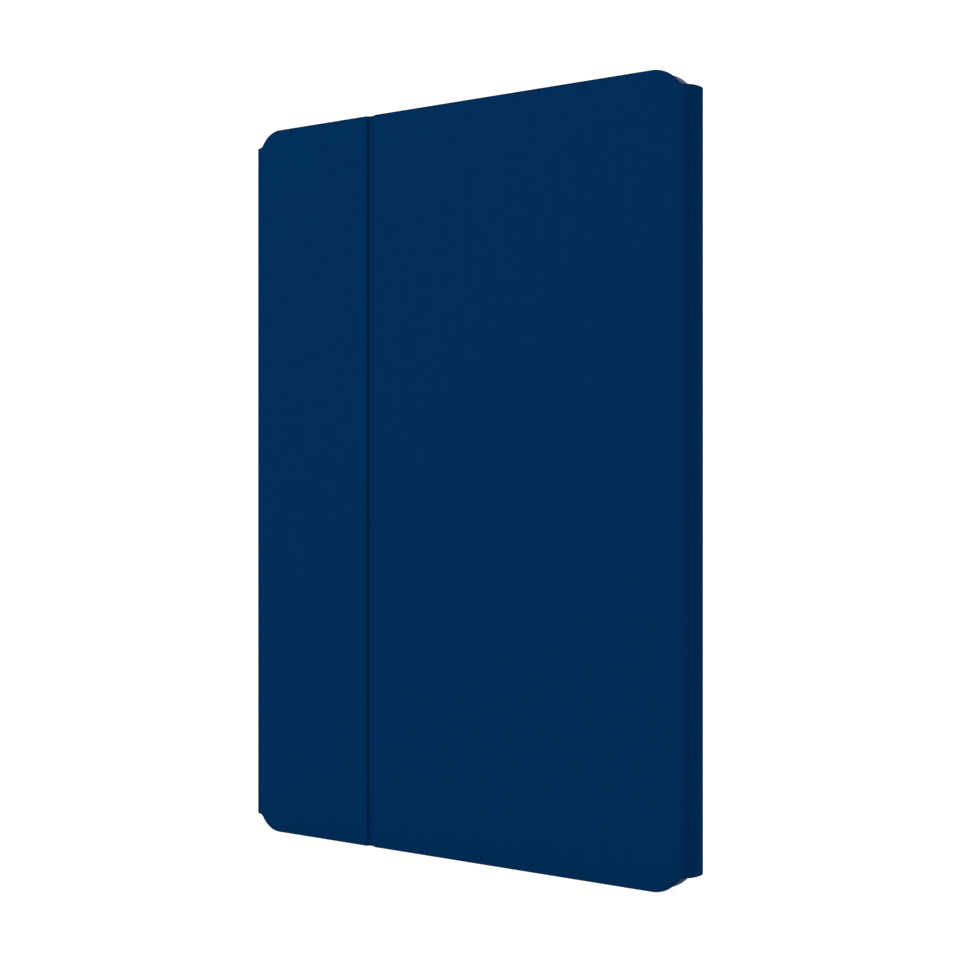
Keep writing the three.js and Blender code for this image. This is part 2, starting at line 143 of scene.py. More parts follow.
def make_stage():
    """A white floor that curves up into a wall behind the case. Lengths in metres."""
    size, wall_height, wall_start, wall_radius = 40.0, 3.0, 2.2, 0.8
    profile = [(-size, 0.0), (wall_start, 0.0)]
    profile += [(wall_start + math.sin(a) * wall_radius, wall_radius - math.cos(a) * wall_radius)
                for a in np.linspace(0.1, math.pi / 2, 12)]
    profile.append((wall_start + wall_radius, wall_height))
    verts = [(side * size, y, z) for y, z in profile for side in (-1, 1)]
    faces = [(2 * i, 2 * i + 1, 2 * i + 3, 2 * i + 2) for i in range(len(profile) - 1)]
    mesh = bpy.data.meshes.new("floor")
    mesh.from_pydata(verts, [], faces)
    mesh.polygons.foreach_set("use_smooth", [True] * len(mesh.polygons))
    floor = link("floor", mesh)
    floor.data.materials.append(stage_material())


def stage_material():
    material, shader, _ = new_material("stage_white")
    shader.inputs["Base Color"].default_value = (0.25, 0.25, 0.25, 1)
    shader.inputs["Roughness"].default_value = 0.9
    shader.inputs["Specular IOR Level"].default_value = 0.1
    shader.inputs["Emission Color"].default_value = (1, 1, 1, 1)
    shader.inputs["Emission Strength"].default_value = 0.9
    return material


def make_light():
    world = bpy.data.worlds.new("studio")
    bpy.context.scene.world = world
    world.use_nodes = True
    background = world.node_tree.nodes["Background"]
    background.inputs["Color"].default_value = (1, 1, 1, 1)
    background.inputs["Strength"].default_value = 1.0
    for name, place, size, power in (
        ("key_light", (-0.9, -1.9, 1.3), 1.6, 37.0),
        ("back_light", (0.3, 1.7, 1.3), 1.4, 14.0),
    ):
        data = bpy.data.lights.new(name, "AREA")
        data.size = size
        data.energy = power
        light = bpy.data.objects.new(name, data)
        light.location = place
        aim = Vector((0, 0, MIDDLE)) - Vector(place)
        light.rotation_euler = aim.to_track_quat("-Z", "Y").to_euler()
        bpy.context.scene.collection.objects.link(light)
    bpy.context.scene.view_settings.view_transform = "Standard"


# ---------------------------------------------------------------- materials
def srgb(r, g, b):
    def linear(c):
        c /= 255
        return c / 12.92 if c <= 0.04045 else ((c + 0.055) / 1.055) ** 2.4

    return (linear(r), linear(g), linear(b), 1)


def new_material(name):
    material = bpy.data.materials.new(name)
    material.use_nodes = True
    tree = material.node_tree
    return material, tree.nodes["Principled BSDF"], tree


def node(tree, kind, **values):
    made = tree.nodes.new(kind)
    for key, value in values.items():
        if key in made.inputs:
            made.inputs[key].default_value = value
        else:
            setattr(made, key, value)
    return made


def ramp_between(tree, factor, low, high, dark, light):
    """A colour ramp from dark at low to light at high, driven by a factor socket."""
    ramp = tree.nodes.new("ShaderNodeValToRGB")
    ramp.color_ramp.elements[0].position = low
    ramp.color_ramp.elements[0].color = dark
    ramp.color_ramp.elements[1].position = high
    ramp.color_ramp.elements[1].color = light
    tree.links.new(factor, ramp.inputs["Fac"])
    return ramp.outputs["Color"]


def flat_coordinates(tree):
    """Coordinates laid out on the flat cloth, in millimetres."""
    source = node(tree, "ShaderNodeAttribute", attribute_name="flat")
    return source.outputs["Vector"]


def weave_height(tree, coordinates, pitch):
    """Plain weave: warp and weft threads that pass over each other, thread pitch in millimetres."""
    def wave(direction, phase):
        made = node(tree, "ShaderNodeTexWave", wave_type="BANDS", bands_direction=direction)
        made.inputs["Scale"].default_value = math.pi / 10 / pitch
        made.inputs["Distortion"].default_value = 0.6
        made.inputs["Detail"].default_value = 1.0
        made.inputs["Detail Scale"].default_value = 0.4
        made.inputs["Phase Offset"].default_value = phase
        tree.links.new(coordinates, made.inputs["Vector"])
        return made.outputs["Fac"]

    product = node(tree, "ShaderNodeMath", operation="MULTIPLY")
    tree.links.new(wave("X", 0.0), product.inputs[0])
    tree.links.new(wave("Y", 0.0), product.inputs[1])
    other = node(tree, "ShaderNodeMath", operation="MULTIPLY")
    tree.links.new(wave("X", math.pi), other.inputs[0])
    tree.links.new(wave("Y", math.pi), other.inputs[1])
    total = node(tree, "ShaderNodeMath", operation="ADD")
    tree.links.new(product.outputs[0], total.inputs[0])
    tree.links.new(other.outputs[0], total.inputs[1])
    return total.outputs[0]


def noise(tree, coordinates, scale, detail=3.0, stretch=None):
    made = node(tree, "ShaderNodeTexNoise", Scale=scale, Detail=detail)
    if stretch:
        mapping = node(tree, "ShaderNodeMapping")
        mapping.inputs["Scale"].default_value = stretch
        tree.links.new(coordinates, mapping.inputs["Vector"])
        coordinates = mapping.outputs["Vector"]
    tree.links.new(coordinates, made.inputs["Vector"])
    return made.outputs["Fac"]


def bump(tree, shader, height, strength, distance, under=None):
    made = node(tree, "ShaderNodeBump", Strength=strength, Distance=distance)
    tree.links.new(height, made.inputs["Height"])
    if under:
        tree.links.new(under, made.inputs["Normal"])
    tree.links.new(made.outputs["Normal"], shader.inputs["Normal"])
    return made.outputs["Normal"]


def multiply(tree, a, b):
    made = node(tree, "ShaderNodeMix", data_type="RGBA", blend_type="MULTIPLY")
    made.inputs["Factor"].default_value = 1.0
    tree.links.new(a, made.inputs["A"])
    tree.links.new(b, made.inputs["B"])
    return made.outputs["Result"]


def cloth_material(name, colour, pitch, depth):
    """Fine woven cloth: thread colour from the weave, faint mottling, long streaks along the warp and painted
    shade along the cut edge.
    """
    material, shader, tree = new_material(name)
    coordinates = flat_coordinates(tree)
    threads = weave_height(tree, coordinates, pitch)
    thread_colour = ramp_between(tree, threads, 0.1, 0.9,
                                 tuple(0.90 * c for c in colour[:3]) + (1,),
                                 tuple(1.06 * c for c in colour[:3]) + (1,))
    mottle = ramp_between(tree, noise(tree, coordinates, 0.18, 4.0), 0.3, 0.7,
                          (0.965, 0.965, 0.965, 1), (1.0, 1.0, 1.0, 1))
    streaks = ramp_between(tree, noise(tree, coordinates, 1.0, 2.0, (0.55, 0.012, 1.0)), 0.3, 0.7,
                           (0.975, 0.975, 0.975, 1), (1.0, 1.0, 1.0, 1))
    # painted shade: the cloth darkens within about half a millimetre of its cut edge, where the rounded edge
    # turns away from the light
    edge = node(tree, "ShaderNodeAttribute", attribute_name="edge").outputs["Fac"]
    edge_shade = ramp_between(tree, edge, 0.15, 0.55, (0.5, 0.55, 0.6, 1), (1.0, 1.0, 1.0, 1))
    cloth_colour = multiply(tree, multiply(tree, thread_colour, mottle), streaks)
    tree.links.new(multiply(tree, cloth_colour, edge_shade), shader.inputs["Base Color"])
    roughness = ramp_between(tree, threads, 0.0, 1.0, (0.95, 0.95, 0.95, 1), (0.8, 0.8, 0.8, 1))
    tree.links.new(roughness, shader.inputs["Roughness"])
    shader.inputs["Specular IOR Level"].default_value = 0.0
    shader.inputs["Sheen Weight"].default_value = 0.012
    shader.inputs["Sheen Roughness"].default_value = 0.5
    shader.inputs["Sheen Tint"].default_value = (0.0, 0.35, 0.9, 1)
    bump(tree, shader, threads, 0.35, depth)
    return material


CLOTH_COLOUR = srgb(1.1, 36, 72)


# ---------------------------------------------------------------- the cloth's path round the case
ARC_SAMPLES = 721
arc_angles = np.linspace(0, math.pi, ARC_SAMPLES)
arc_x = BULGE * np.sin(arc_angles)
arc_y = FRONT * np.cos(arc_angles)
arc_lengths = np.concatenate([[0], np.cumsum(np.hypot(np.diff(arc_x), np.diff(arc_y)))])
STRIP_LENGTH = arc_lengths[-1]
CLOSURE_ANGLE = math.pi / 2 + math.acos(CLOSURE_REAR / BULGE)
CLOSURE_END = EDGE + float(np.interp(CLOSURE_ANGLE, arc_angles, arc_lengths))
SPINE_END = -EDGE - STRIP_LENGTH


def crease_depth(x):
    """How far the front sheet dips at the crease."""
    rise = np.clip((x - CREASE_LEFT) / CREASE_WALL, 0, 1)
    fall = np.clip((CREASE_RIGHT - x) / CREASE_WALL, 0, 1)
    return CREASE_DEPTH * np.minimum(rise ** 2 * (3 - 2 * rise), fall ** 2 * (3 - 2 * fall))


def path(u, inwards=0.0):
    """Point (x, y) of the sheet at flat distance u from the front panel's middle, moved inwards along
    its normal."""
    beyond = abs(u) - EDGE
    side = 1 if u > 0 else -1
    if beyond <= 0:
        dip = float(crease_depth(np.array(u)))
        return u, FRONT + dip + inwards
    if beyond < STRIP_LENGTH:
        angle = float(np.interp(beyond, arc_lengths, arc_angles))
        x, y = BULGE * math.sin(angle), FRONT * math.cos(angle)
        normal = Vector((math.sin(angle) / BULGE, -math.cos(angle) / BACK)).normalized()
        return side * (EDGE + x - normal.x * inwards), y - normal.y * inwards
    return side * (EDGE - (beyond - STRIP_LENGTH)), BACK - inwards


def corner_geometry(radius, inset):
    """Where a round corner ends and its hollow fillet starts, measured from the panel's side edge."""
    reach = radius + CORNER_FILLET
    rise = (STRIP_HALF + CORNER_FILLET) - (HALF - radius)
    run = math.sqrt(reach ** 2 - rise ** 2)
    angle = math.asin(rise / reach)
    return -inset + radius * math.cos(angle), run - inset, angle


def half_height(u):
    """Half the sheet's height at flat distance u: straight, round corner, hollow fillet, strip."""
    radius, inset = RIGHT_CORNER if u > 0 else LEFT_CORNER
    corner_end, fillet_end, _ = corner_geometry(radius, inset)
    beyond = abs(u) - EDGE
    if beyond <= -inset:
        return HALF
    if beyond <= corner_end:
        return HALF - radius + math.sqrt(radius ** 2 - (beyond + inset) ** 2)
    if beyond < fillet_end:
        return STRIP_HALF + CORNER_FILLET - math.sqrt(CORNER_FILLET ** 2 - (fillet_end - beyond) ** 2)
    return STRIP_HALF


def side_stations(radius, inset):
    """Distances from the middle at which one side of the sheet needs a column."""
    corner_end, fillet_end, corner_angle = corner_geometry(radius, inset)
    stations = {EDGE - inset + radius * math.cos(a) for a in np.linspace(corner_angle, math.pi / 2, 15)}
    stations |= {EDGE + x for x in np.linspace(corner_end, fillet_end, 9)}
    stations |= {EDGE + x for x in np.linspace(fillet_end, STRIP_LENGTH, 40)}
    return sorted(stations)


def flat_stations():
    """Every u at which the sheet needs a column, over the whole girth."""
    right = side_stations(*RIGHT_CORNER)
    left = [-u for u in side_stations(*LEFT_CORNER)]
    crease = list(np.linspace(CREASE_LEFT, CREASE_LEFT + CREASE_WALL, 7))
    crease += list(np.linspace(CREASE_LEFT + CREASE_WALL, CREASE_RIGHT - CREASE_WALL, 7))
    crease += list(np.linspace(CREASE_RIGHT - CREASE_WALL, CREASE_RIGHT, 7))
    margin = 2 * MM
    plain = [u for u in np.arange(-90, 91, 6) * MM if not CREASE_LEFT - margin < u < CREASE_RIGHT + margin]
    back = [SPINE_END - d * MM for d in range(1, 15)]
    return sorted(right + left + crease + plain + back)


STATIONS = flat_stations()


def stations_between(start, end, step=None):
    low, high = min(start, end), max(start, end)
    inner = [u for u in STATIONS if low + 0.2 * MM < u < high - 0.2 * MM]
    if step:
        inner += list(np.arange(low + step, high - 0.5 * step, step))
        inner = sorted(set(round(u, 7) for u in inner))
    return [low, *inner, high]


def set_flat(mesh, coordinates, edges=None):
    """Stores each point's place on the flat cloth and its distance from the cut edge, in millimetres."""
    attribute = mesh.attributes.new("flat", "FLOAT_VECTOR", "POINT")
    attribute.data.foreach_set("vector", np.array(coordinates, np.float32).ravel() / MM)
    edge = mesh.attributes.new("edge", "FLOAT", "POINT")
    values = np.full(len(coordinates), 10.0) if edges is None else np.array(edges) / MM
    edge.data.foreach_set("value", values.astype(np.float32))


def smooth(mesh, angle=math.radians(35)):
    mesh.polygons.foreach_set("use_smooth", [True] * len(mesh.polygons))
    mesh.set_sharp_from_angle(angle=angle)


def sheet_solid(name, columns, offset, thickness, inset=0.0, bevel=0.12 * MM, route=path,
                half_of=half_height):
    """A closed piece of sheet through the given columns of flat distance. offset is how far its outer face
    lies inside the cloth's outer face, thickness a number or a function of u, inset how much shorter it is
    at each end; route and half_of give the sheet's path and half its height at a flat distance."""
    rows = np.linspace(-1, 1, 13)
    points, flats, edges = [], [], []
    for u in columns:
        depth = thickness(u) if callable(thickness) else thickness
        half = half_of(u) - inset
        ring = [(0.0, t * (half - bevel)) for t in rows]
        ring += [(0.3 * bevel, half - 0.3 * bevel), (bevel, half)]
        ring += [(depth - bevel, half), (depth - 0.3 * bevel, half - 0.3 * bevel)]
        ring += [(depth, t * (half - bevel)) for t in rows[::-1]]
        ring += [(depth - 0.3 * bevel, -half + 0.3 * bevel), (depth - bevel, -half)]
        ring += [(bevel, -half), (0.3 * bevel, -half + 0.3 * bevel)]
        for inwards, height in ring:
            x, y = route(u, offset + inwards)
            points.append((x, y, MIDDLE + height))
            flats.append((u, height, inwards))
            edges.append(max(0.0, half - abs(height)))
    count = len(ring)
    faces = []
    for c in range(len(columns) - 1):
        for r in range(count):
            a, b = c * count + r, c * count + (r + 1) % count
            faces.append((a, a + count, b + count, b))
    faces.append(tuple(range(count)))
    faces.append(tuple(reversed(range((len(columns) - 1) * count, len(columns) * count))))
    mesh = bpy.data.meshes.new(name)
    mesh.from_pydata(points, [], faces)
    mesh.validate()
    set_flat(mesh, flats, edges)
    fix_normals(mesh)
    smooth(mesh)
    return link(name, mesh)


def fix_normals(mesh):
    made = bmesh.new()
    made.from_mesh(mesh)
    bmesh.ops.recalc_face_normals(made, faces=made.faces)
    made.to_mesh(mesh)
    made.free()


def place_on(piece, bodies):
    if len(bodies) == 1:
        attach(piece, bodies[0])
    else:
        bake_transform(piece)


def sum_area(start, end, inset=0.0):
    """Flat area of the sheet between two flat distances."""
    places = np.linspace(min(start, end), max(start, end), 400)
    heights = [2 * (half_height(float(u)) - inset) for u in places]
    return float(np.mean(heights)) * abs(end - start)


def add_cloth_piece(name, start, end, bodies, material, replaces=(), offset=0.0, thickness=None, inset=0.0,
                    blend_span=None, step=None):
    piece = sheet_solid(name, stations_between(start, end, step), offset, thickness or SKIN, inset)
    piece["flat_area"] = sum_area(start, end, inset)
    piece.data.materials.append(material)
    if replaces:
        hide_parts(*replaces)
    if blend_span:
        place_on(piece, bodies)
    else:
        place_on(piece, bodies)
    return piece


def cut_with(piece, cutters):
    """Cuts closed meshes out of a piece and removes them."""
    for cutter in cutters:
        modifier = piece.modifiers.new("cut", "BOOLEAN")
        modifier.operation = "DIFFERENCE"
        modifier.solver = "EXACT"
        modifier.object = cutter
    bpy.context.view_layer.update()
    evaluated = piece.evaluated_get(bpy.context.evaluated_depsgraph_get())
    mesh = bpy.data.meshes.new_from_object(evaluated)
    piece.modifiers.clear()
    old = piece.data
    piece.data = mesh
    mesh.name = old.name
    bpy.data.meshes.remove(old)
    for cutter in cutters:
        bpy.data.objects.remove(cutter)


def rounded_loop(x0, x1, z0, z1, radius, steps=8):
    """Points (x, z) of a rounded rectangle, anticlockwise."""
    points = []
    for turn, (x, z) in enumerate(((x1 - radius, z0 + radius), (x1 - radius, z1 - radius),
                                   (x0 + radius, z1 - radius), (x0 + radius, z0 + radius))):
        for step in range(steps + 1):
            angle = (turn - 1 + step / steps) * math.pi / 2
            points.append((x + radius * math.cos(angle), z + radius * math.sin(angle)))
    return points


def loft(name, rings):
    """A closed skin through rings of (x, y, z) points, capped at both ends."""
    count = len(rings[0])
    points = [point for ring in rings for point in ring]
    faces = []
    for layer in range(len(rings) - 1):
        for i in range(count):
            a, b = layer * count + i, layer * count + (i + 1) % count
            faces.append((a, b, b + count, a + count))
    faces.append(tuple(range(count)))
    faces.append(tuple(range((len(rings) - 1) * count, len(rings) * count)))
    mesh = bpy.data.meshes.new(name)
    mesh.from_pydata(points, [], faces)
    mesh.validate()
    fix_normals(mesh)
    smooth(mesh)
    return link(name, mesh)


def prism(loop, y0, y1, name="cutter"):
    return loft(name, [[(x, y, z) for x, z in loop] for y in (y0, y1)])


def pillow_plate(name, loop_of, y0, y1, bevel):
    """A plate between two Y planes with rounded rims; loop_of(inset) gives its outline."""
    profile = ((bevel, y0), (0.3 * bevel, y0 + 0.3 * bevel), (0.0, y0 + bevel),
               (0.0, y1 - bevel), (0.3 * bevel, y1 - 0.3 * bevel), (bevel, y1))
    return loft(name, [[(x, y, z) for x, z in loop_of(inset)] for inset, y in profile])


def flatten_again(piece):
    """Sets the weave coordinates of a flat plate from its places."""
    mesh = piece.data
    for name in ("flat", "edge"):
        if name in mesh.attributes:
            mesh.attributes.remove(mesh.attributes[name])
    set_flat(mesh, [(v.co.x, v.co.z - MIDDLE, v.co.y) for v in mesh.vertices])


def finish_piece(piece, material, bodies, replaces=()):
    piece.data.materials.clear()
    piece.data.materials.append(material)
    if replaces:
        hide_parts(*replaces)
    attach(piece, bodies)
    return piece


def make_cloth(cloth):
    band = HINGE_BAND
    narrow_end = SPINE_END - (narrow_high.x + EDGE)
    strip = add_cloth_piece("cloth_closure_strip", EDGE + band, CLOSURE_END, ["closure_strip"], cloth,
                            ["closure_fabric"])
    corner = add_cloth_piece("cloth_opening_corner", EDGE - band, EDGE + band,
                             ["keyboard_panel", "closure_strip"], cloth,
                             blend_span=(EDGE - band, EDGE + band * 0.9), step=0.4 * MM)
    keyboard = add_cloth_piece("cloth_keyboard_panel", CREASE_RIGHT + band, EDGE - band, ["keyboard_panel"],
                               cloth, ["cover_fabric"])
    crease = add_cloth_piece("cloth_crease", CREASE_LEFT - band, CREASE_RIGHT + band,
                             ["fold_panel", "keyboard_panel"], cloth,
                             thickness=lambda u: SKIN - 0.12 * float(crease_depth(np.array(u))),
                             blend_span=CREASE_BEND, step=0.3 * MM)
    fold = add_cloth_piece("cloth_fold_panel", -EDGE + band, CREASE_LEFT - band, ["fold_panel"], cloth,
                           ["fold_fabric"])
    front = add_cloth_piece("cloth_spine_front", -EDGE - band, -EDGE + band, ["spine", "fold_panel"], cloth,
                            blend_span=(-EDGE - band * 0.9, -EDGE + band), step=0.4 * MM)
    spine = add_cloth_piece("cloth_spine", SPINE_END + band, -EDGE - band, ["spine"], cloth, ["spine_fabric"])
    back = add_cloth_piece("cloth_spine_back", SPINE_END - band, SPINE_END + band,
                           ["case_back", "spine"], cloth,
                           blend_span=(SPINE_END - band, SPINE_END + band * 0.9), step=0.4 * MM)
    narrow = add_cloth_piece("cloth_back_narrow", narrow_end, SPINE_END - band, ["case_back"], cloth,
                             ["back_fabric_spine"])


# ---------------------------------------------------------------- back plates and stand
def back_route(u, inwards):
    return u, BACK - inwards


def rounded_half(low, high, low_radius, high_radius):
    """Half height of a plate whose corners are round at either end."""
    def half_of(u):
        for radius, into in ((high_radius, u - (high - high_radius)), (low_radius, (low + low_radius) - u)):
            if radius and into > 0:
                return STRIP_HALF - radius + math.sqrt(max(0.0, radius ** 2 - into ** 2))
        return STRIP_HALF
    return half_of


def plate_columns(low, high, low_radius, high_radius):
    angles = np.linspace(0, math.pi / 2, 11)
    columns = [low, high] + list(np.arange(low + low_radius + 8 * MM, high - high_radius - 2 * MM, 12 * MM))
    if high_radius:
        columns += [high - high_radius + high_radius * math.sin(a) for a in angles]
    if low_radius:
        columns += [low + low_radius - low_radius * math.sin(a) for a in angles]
    return sorted(set(round(u, 7) for u in columns))


def back_plate(name, low, high, low_radius, high_radius, offset, thickness, inset=0.0):
    low, high = low + inset * bool(low_radius), high - inset * bool(high_radius)
    columns = plate_columns(low, high, low_radius, high_radius)
    return sheet_solid(name, columns, offset, thickness, inset, route=back_route,
                       half_of=rounded_half(low, high, low_radius, high_radius))


def camera_cutter(y0, y1):
    x, z = CAMERA
    half = CAMERA_HALF
    loop = rounded_loop(x - half, x + half, MIDDLE + z - half, MIDDLE + z + half, CAMERA_RADIUS, 6)
    return prism(loop, y0, y1)


def thumb_cutter():
    centre, radius = stand_low.x - THUMB_OUTSIDE, THUMB_RADIUS
    loop = [(centre + radius * math.cos(a), MIDDLE + radius * math.sin(a))
            for a in np.linspace(0, 2 * math.pi, 64, endpoint=False)]
    return prism(loop, BACK - 3 * MM, BACK + 1 * MM)


def make_back(cloth, lining):
    main = back_plate("cloth_back_main", back_low.x, back_high.x, 0, BACK_RADIUS, 0, SKIN)
    cut_with(main, [camera_cutter(BACK - 2 * MM, BACK + 1 * MM)])
    flatten_again(main)
    finish_piece(main, cloth, "case_back", ["back_fabric_main"])

    stand = back_plate("cloth_stand", stand_low.x, stand_high.x, STAND_RADIUS, 0, 0, SKIN)
    cut_with(stand, [thumb_cutter()])
    flatten_again(stand)
    finish_piece(stand, cloth, "stand", ["stand_fabric"])
    inner = back_plate("lining_stand", stand_low.x, stand_high.x, STAND_RADIUS, 0, LINING_OFFSET,
                       1.2 * MM, LINING_INSET)
    cut_with(inner, [thumb_cutter()])
    flatten_again(inner)
    finish_piece(inner, lining, "stand", ["stand_board"])

    def groove(u, inwards):
        middle = (stand_high.x + back_low.x) / 2
        reach = (back_low.x - stand_high.x) / 2
        dip = 0.45 * MM * max(0.0, 1 - ((u - middle) / reach) ** 2)
        return u, BACK - dip - inwards

    columns = np.linspace(stand_high.x - 0.1 * MM, back_low.x + 0.1 * MM, 15)
    hinge = sheet_solid("cloth_stand_hinge", list(columns), 0.02 * MM, 0.4 * MM, 0.1 * MM, route=groove,
                        half_of=lambda u: STRIP_HALF)
    hinge.data.materials.append(cloth)
    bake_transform(hinge)


# ---------------------------------------------------------------- inside faces of the cover
def make_linings(lining):
    band = HINGE_BAND
    board = 0.7 * MM
    fold = 0.95 * MM

    def crease_lining(u):
        share = min(1.0, max(0.0, (u - CREASE_LEFT) / (CREASE_RIGHT - CREASE_LEFT)))
        dip = float(crease_depth(np.array(u))) / CREASE_DEPTH
        return (fold + (board - fold) * share) * (1 - dip) + 0.15 * MM * dip

    def closure_depth(u):
        share = max(0.0, (u - EDGE - band) / (CLOSURE_END - EDGE - band))
        return board + 1.9 * MM * math.sin(math.pi * min(1.0, share)) ** 0.7

    def spine_depth(u):
        share = max(0.0, min(1.0, (u - SPINE_END - band) / (STRIP_LENGTH - 2 * band)))
        return board + 1.7 * MM * math.sin(math.pi * share) ** 0.7

    def add(name, start, end, bodies, thickness, replaces=(), blend_span=None):
        return add_cloth_piece(name, start, end, bodies, lining, replaces, LINING_OFFSET, thickness,
                               LINING_INSET, blend_span, 0.4 * MM if blend_span else None)

    keyboard = add("lining_keyboard_panel", CREASE_RIGHT + band, EDGE - band, ["keyboard_panel"], board,
                   ["cover_board"])
    corner = add("lining_opening_corner", EDGE - band, EDGE + band, ["keyboard_panel", "closure_strip"],
                 0.35 * MM, (), (EDGE - band, EDGE + band * 0.9))
    crease = add("lining_crease", CREASE_LEFT - band, CREASE_RIGHT + band, ["fold_panel", "keyboard_panel"],
                 crease_lining, (), CREASE_BEND)
    folded = add("lining_fold_panel", -EDGE + band, CREASE_LEFT - band, ["fold_panel"], fold,
                 ["fold_board", "fold_lining"])
    front = add("lining_spine_front", -EDGE - band, -EDGE + band, ["spine", "fold_panel"], 0.35 * MM, (),
                (-EDGE - band * 0.9, -EDGE + band))
    spine = add("lining_spine", SPINE_END + band, -EDGE - band, ["spine"], spine_depth, ["spine_core"])
    back = add("lining_spine_back", SPINE_END - band, SPINE_END + band, ["case_back", "spine"], 0.35 * MM, (),
               (SPINE_END - band, SPINE_END + band * 0.9))
    closure = add("lining_closure_strip", EDGE + band, CLOSURE_END, ["closure_strip"], closure_depth,
                  ["closure_core"])


# ---------------------------------------------------------------- tray
def make_tray(plastic):
    """A shell with a flat back, bulging sides, a narrow rounded rim and the tablet's bay."""
    half_width = tray_high.x
    half_high = (tray_high.z - tray_low.z) / 2
    back, rim = tray_high.y, tray_low.y
    rim_round = 0.22 * MM

    def outer(inset, y):
        loop = rounded_loop(-half_width + inset, half_width - inset, MIDDLE - half_high + inset,
                            MIDDLE + half_high - inset, TRAY_RADIUS - inset, 14)
        return [(x, y, z) for x, z in loop]

    def bay(inset, y):
        loop = rounded_loop(-BAY_HALF_WIDTH + inset, BAY_HALF_WIDTH - inset, MIDDLE - BAY_HALF_HEIGHT + inset,
                            MIDDLE + BAY_HALF_HEIGHT - inset, BAY_RADIUS - inset, 14)
        return [(x, y, z) for x, z in loop]

    def pull_in(from_end, rounding):
        width, depth = rounding
        return width * (1 - math.sqrt(max(0.0, 1 - (1 - from_end / depth) ** 2)))

    def rounded_side(rounding):
        """(inset, distance from the face) pairs from the face's edge to where the side is widest."""
        width, depth = rounding
        pairs = [(width + 0.4 * MM, 0.0), (width + 0.1 * MM, 0.08 * MM)]
        return pairs + [(pull_in(d, rounding), d) for d in np.linspace(0.25 * MM, depth, 11)]

    rings = [outer(inset, back - d) for inset, d in rounded_side(TRAY_BACK_ROUND)]
    rings += [outer(inset, rim + d) for inset, d in rounded_side(TRAY_FRONT_ROUND)[:1:-1]]
    front = TRAY_FRONT_ROUND[0]
    rings += [outer(front + 0.02 * MM, rim + 0.08 * MM), outer(front + rim_round, rim)]
    rings += [bay(-rim_round, rim), bay(-0.06 * MM, rim + 0.08 * MM), bay(0, rim + 0.3 * MM)]
    rings += [bay(0, BAY_FLOOR - 0.7 * MM), bay(0.2 * MM, BAY_FLOOR - 0.2 * MM), bay(0.7 * MM, BAY_FLOOR)]
    tray = loft("tray", rings)

    def notch(width, low, high):
        loop = [(-width / 2, low), (width / 2, low), (width / 2, high), (-width / 2, high)]
        return prism(loop, rim - 2 * MM, NOTCH_DEPTH)

    contact = frame_box_loop("contact_block", 0.3 * MM)
    cut_with(tray, [
        notch(CHARGING_NOTCH, -1 * MM, MIDDLE - BAY_HALF_HEIGHT + 1 * MM),
        notch(BUTTON_NOTCH, MIDDLE + BAY_HALF_HEIGHT - 1 * MM, MIDDLE + HALF + 1 * MM),
        camera_cutter(BAY_FLOOR - 1 * MM, back + 1 * MM),
        contact,
    ])
    smooth(tray.data)
    finish_piece(tray, plastic, "case_back", ["tray_shell"])


def frame_box_loop(name, grow):
    """A cutter round a node's box, open towards the bay."""
    low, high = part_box(name)
    loop = [(low.x - grow, low.z - grow), (high.x + 1 * MM, low.z - grow),
            (high.x + 1 * MM, high.z + grow), (low.x - grow, high.z + grow)]
    return prism(loop, low.y - grow, high.y + grow)


# ---------------------------------------------------------------- keyboard
ROWS = {
    "function": ["esc"] + [f"f{i}" for i in range(1, 13)] + ["del"],
    "number": list("`1234567890-="),
    "upper": list("QWERTYUIOP[]"),
    "home": list("ASDFGHJKL;'"),
    "lower": list("ZXCVBNM,./"),
}
SINGLE_KEYS = {
    "backspace": "backspace", "tab": "tab", "backslash": "\\", "caps_lock": "caps lock", "enter": "enter",
    "shift_left": "shift", "shift_right": "shift", "ctrl_left": "ctrl", "fn": "fn", "command": "cmd",
    "alt_left": "alt", "space": "", "alt_right": "alt", "ctrl_right": "ctrl", "arrow_left": "left",
    "arrow_up": "up", "arrow_down": "down", "arrow_right": "right",
}


def key_boxes(row, count):
    """The boxes (x0, x1, z0, z1) of a row's caps, from high Z to low Z."""
    low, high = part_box(f"keys_{row}_row")
    pitch = (high.z - low.z + KEY_GAP) / count
    return [(low.x, high.x, high.z - (i + 1) * pitch + KEY_GAP, high.z - i * pitch) for i in range(count)]


def cap_rings(x0, x1, z0, z1, bottom, top):
    """A keycap's rings: straight skirt, rounded shoulder and a top dished by a tenth of a millimetre."""
    profile = ((0.15, bottom), (0.0, bottom + 0.15 * MM), (0.0, top - 0.55 * MM), (0.05, top - 0.32 * MM),
               (0.18, top - 0.12 * MM), (0.42, top - 0.02 * MM), (0.75, top), (1.5, top - 0.05 * MM),
               (2.6, top - 0.1 * MM))
    radius = 1.8 * MM
    reach = min(x1 - x0, z1 - z0) / 2 - 0.5 * MM
    rings = []
    for inset, y in profile:
        inset = min(inset * MM, reach)
        loop = rounded_loop(x0 + inset, x1 - inset, z0 + inset, z1 - inset, max(0.25 * MM, radius - inset), 5)
        rings.append([(x, y, z) for x, z in loop])
    return rings


def legend_mesh(text, size):
    curve = bpy.data.curves.new("legend", "FONT")
    curve.body = text
    curve.size = size
    curve.align_x = "CENTER"
    curve.align_y = "CENTER"
    curve.extrude = 0.03 * MM
    curve.resolution_u = 3
    holder = bpy.data.objects.new("legend", curve)
    bpy.context.scene.collection.objects.link(holder)
    bpy.context.view_layer.update()
    mesh = bpy.data.meshes.new_from_object(holder.evaluated_get(bpy.context.evaluated_depsgraph_get()))
    bpy.data.objects.remove(holder)
    bpy.data.curves.remove(curve)
    return mesh


